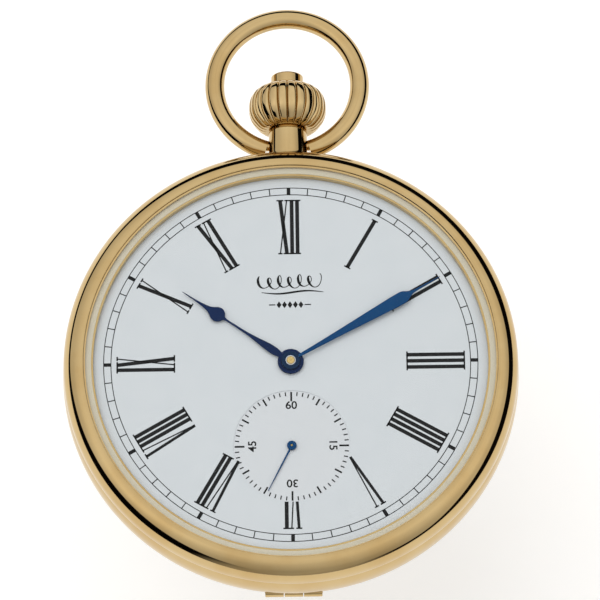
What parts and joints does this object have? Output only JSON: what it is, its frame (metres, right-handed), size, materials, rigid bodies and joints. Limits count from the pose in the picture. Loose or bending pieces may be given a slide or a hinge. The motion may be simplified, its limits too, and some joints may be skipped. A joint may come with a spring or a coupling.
{
  "type": "open face pocket watch",
  "caption": "Open face pocket watch with a round polished case, domed crystal, Roman dial, small seconds, onion crown with push button and a swinging bow.",
  "frame": {"origin": "middle of the flat rest face of the back cover", "axes": "+Z out of the dial, +Y to twelve o'clock and the bow, +X to three o'clock"},
  "size_m": [0.05, 0.0682, 0.0104],
  "materials": {
    "case_gold": "polished light gold plate",
    "crystal": "clear domed crystal",
    "dial_enamel": "bluish white enamel",
    "blued_steel": "heat-blued steel",
    "nickel_plate": "nickel-plated brass with fine stripes",
    "train_brass": "gilt brass",
    "movement_steel": "polished steel",
    "screw_steel": "polished screw steel",
    "spring_steel": "hardened spring steel",
    "ruby": "synthetic ruby"
  },
  "bodies": {
    "case": {"case_band": "case_gold", "pendant": "case_gold", "bezel": "case_gold", "crystal": "crystal", "movement_ring": "train_brass", "case_screws": "screw_steel", "back_hinge_pin": "case_gold", "dial": "dial_enamel", "dial_screws": "screw_steel", "main_plate": "nickel_plate", "barrel_bridge": "nickel_plate", "train_bridge": "nickel_plate", "balance_cock": "nickel_plate", "pallet_bridge": "nickel_plate", "jewels": "ruby", "balance_jewel": "ruby", "bridge_screws": "screw_steel", "click_spring": "spring_steel", "click_screw": "screw_steel", "crown_wheel_screw": "screw_steel", "setting_lever_spring": "spring_steel", "hairspring_stud": "movement_steel", "regulator": "movement_steel", "hairspring": "spring_steel"},
    "cover": {"back_cover": "case_gold"},
    "bow": {"bow": "case_gold"},
    "winding_pinion": {"winding_pinion": "movement_steel"},
    "crown_stem": {"crown": "case_gold", "stem": "movement_steel", "push_spring": "spring_steel"},
    "button": {"push_button": "case_gold"},
    "catch": {"push_sleeve": "movement_steel", "catch_spring": "spring_steel"},
    "clutch": {"sliding_pinion": "movement_steel"},
    "setting_lever": {"setting_lever": "movement_steel"},
    "yoke": {"yoke": "movement_steel"},
    "crown_wheel": {"crown_wheel": "movement_steel"},
    "ratchet": {"ratchet_wheel": "movement_steel", "ratchet_screw": "screw_steel", "barrel_arbor": "movement_steel"},
    "barrel": {"barrel": "train_brass", "barrel_cover": "train_brass", "mainspring": "spring_steel"},
    "centre": {"centre_wheel": "train_brass", "cannon_pinion": "movement_steel", "minute_hand": "blued_steel"},
    "third": {"third_wheel": "train_brass"},
    "fourth": {"fourth_wheel": "train_brass", "seconds_hand": "blued_steel"},
    "escape": {"escape_wheel": "movement_steel"},
    "minute_wheel": {"minute_wheel": "movement_steel"},
    "hour": {"hour_wheel": "train_brass", "hour_hand": "blued_steel"},
    "setting_wheel": {"setting_wheel": "movement_steel"},
    "pallet": {"pallet_fork": "movement_steel", "pallet_stones": "ruby"},
    "balance": {"balance_wheel": "train_brass"},
    "click": {"click": "movement_steel"}
  },
  "joints": [
    {"name": "back_cover_open", "type": "hinge", "parent": "case", "child": "cover", "pos_m": [0, -0.02425, 0.0023], "axis": [-1, 0, 0], "range_deg": [0, 100]},
    {"name": "bow_swing", "type": "hinge", "parent": "case", "child": "bow", "pos_m": [0, 0.0267, 0.0046], "axis": [1, 0, 0], "range_deg": [-90, 90]},
    {"name": "crown_turn", "type": "hinge", "parent": "case", "child": "winding_pinion", "pos_m": [0, 0.0155, 0.0046], "axis": [0, 1, 0], "continuous": true},
    {"name": "crown_pull", "type": "slide", "parent": "winding_pinion", "child": "crown_stem", "axis": [0, 1, 0], "range_m": [0, 0.001]},
    {"name": "button_push", "type": "slide", "parent": "crown_stem", "child": "button", "axis": [0, -1, 0], "range_m": [0, 0.0008], "stiffness_N_per_m": 300, "deforming": ["push_spring"]},
    {"name": "catch_slide", "type": "slide", "parent": "case", "child": "catch", "axis": [0, -1, 0], "range_m": [0, 0.0008]},
    {"name": "clutch_slide", "type": "slide", "parent": "winding_pinion", "child": "clutch", "axis": [0, -1, 0], "range_m": [0, 0.0006]},
    {"name": "setting_lever_turn", "type": "hinge", "parent": "case", "child": "setting_lever", "pos_m": [-0.0044, 0.0143, 0.007], "axis": [0, 0, 1], "range_deg": [0, 14.32]},
    {"name": "yoke_turn", "type": "hinge", "parent": "case", "child": "yoke", "pos_m": [0.0046, 0.0124, 0.007], "axis": [0, 0, 1], "range_deg": [0, 9.29]},
    {"name": "crown_wheel_turn", "type": "hinge", "parent": "case", "child": "crown_wheel", "pos_m": [0, 0.0115, 0.0046], "axis": [0, 0, 1], "continuous": true},
    {"name": "ratchet_turn", "type": "hinge", "parent": "case", "child": "ratchet", "pos_m": [0.00708, 0.00594, 0.0046], "axis": [0, 0, 1], "continuous": true},
    {"name": "minute_turn", "type": "hinge", "parent": "case", "child": "centre", "pos_m": [0, 0, 0.0046], "axis": [0, 0, -1], "continuous": true},
    {"name": "barrel_turn", "type": "hinge", "parent": "case", "child": "barrel", "pos_m": [0.00708, 0.00594, 0.0046], "axis": [0, 0, -1], "continuous": true},
    {"name": "third_turn", "type": "hinge", "parent": "case", "child": "third", "pos_m": [-0.00447, -0.00564, 0.0046], "axis": [0, 0, -1], "continuous": true},
    {"name": "seconds_turn", "type": "hinge", "parent": "case", "child": "fourth", "pos_m": [0, -0.00957, 0.0046], "axis": [0, 0, -1], "continuous": true},
    {"name": "escape_turn", "type": "hinge", "parent": "case", "child": "escape", "pos_m": [0.00419, -0.01199, 0.0046], "axis": [0, 0, -1], "continuous": true},
    {"name": "minute_wheel_turn", "type": "hinge", "parent": "case", "child": "minute_wheel", "pos_m": [-0.00119, 0.00415, 0.0046], "axis": [0, 0, -1], "continuous": true},
    {"name": "hour_turn", "type": "hinge", "parent": "case", "child": "hour", "pos_m": [0, 0, 0.0046], "axis": [0, 0, -1], "continuous": true},
    {"name": "setting_wheel_turn", "type": "hinge", "parent": "case", "child": "setting_wheel", "pos_m": [-0.00065, 0.00934, 0.0046], "axis": [0, 0, -1], "continuous": true},
    {"name": "pallet_rock", "type": "hinge", "parent": "case", "child": "pallet", "pos_m": [0.00678, -0.01037, 0.005], "axis": [0, 0, 1], "range_deg": [-4, 4]},
    {"name": "balance_swing", "type": "hinge", "parent": "case", "child": "balance", "pos_m": [0.00973, -0.00853, 0.0041], "axis": [0, 0, 1], "range_deg": [-270, 270], "stiffness_Nm_per_rad": 0.0000001, "deforming": ["hairspring"]},
    {"name": "click_lift", "type": "hinge", "parent": "case", "child": "click", "pos_m": [0.00588, 0.01271, 0.0017], "axis": [0, 0, 1], "range_deg": [0, 6], "stiffness_Nm_per_rad": 0.0001}
  ],
  "couplings": [
    {"joint": "catch_slide", "follows": "button_push", "ratio": 1},
    {"joint": "clutch_slide", "follows": "crown_pull", "ratio": 0.6},
    {"joint": "setting_lever_turn", "follows": "crown_pull", "rad_per_m": 250},
    {"joint": "yoke_turn", "follows": "crown_pull", "rad_per_m": 162.16},
    {"joint": "crown_wheel_turn", "follows": "crown_turn", "ratio": 0.5},
    {"joint": "ratchet_turn", "follows": "crown_turn", "ratio": -0.30357},
    {"joint": "barrel_turn", "follows": "minute_turn", "ratio": -0.16667},
    {"joint": "third_turn", "follows": "minute_turn", "ratio": -8},
    {"joint": "seconds_turn", "follows": "minute_turn", "ratio": 60},
    {"joint": "escape_turn", "follows": "minute_turn", "ratio": -600},
    {"joint": "minute_wheel_turn", "follows": "minute_turn", "ratio": -0.33333},
    {"joint": "hour_turn", "follows": "minute_turn", "ratio": 0.083333},
    {"joint": "setting_wheel_turn", "follows": "minute_turn", "ratio": 0.54545}
  ]
}
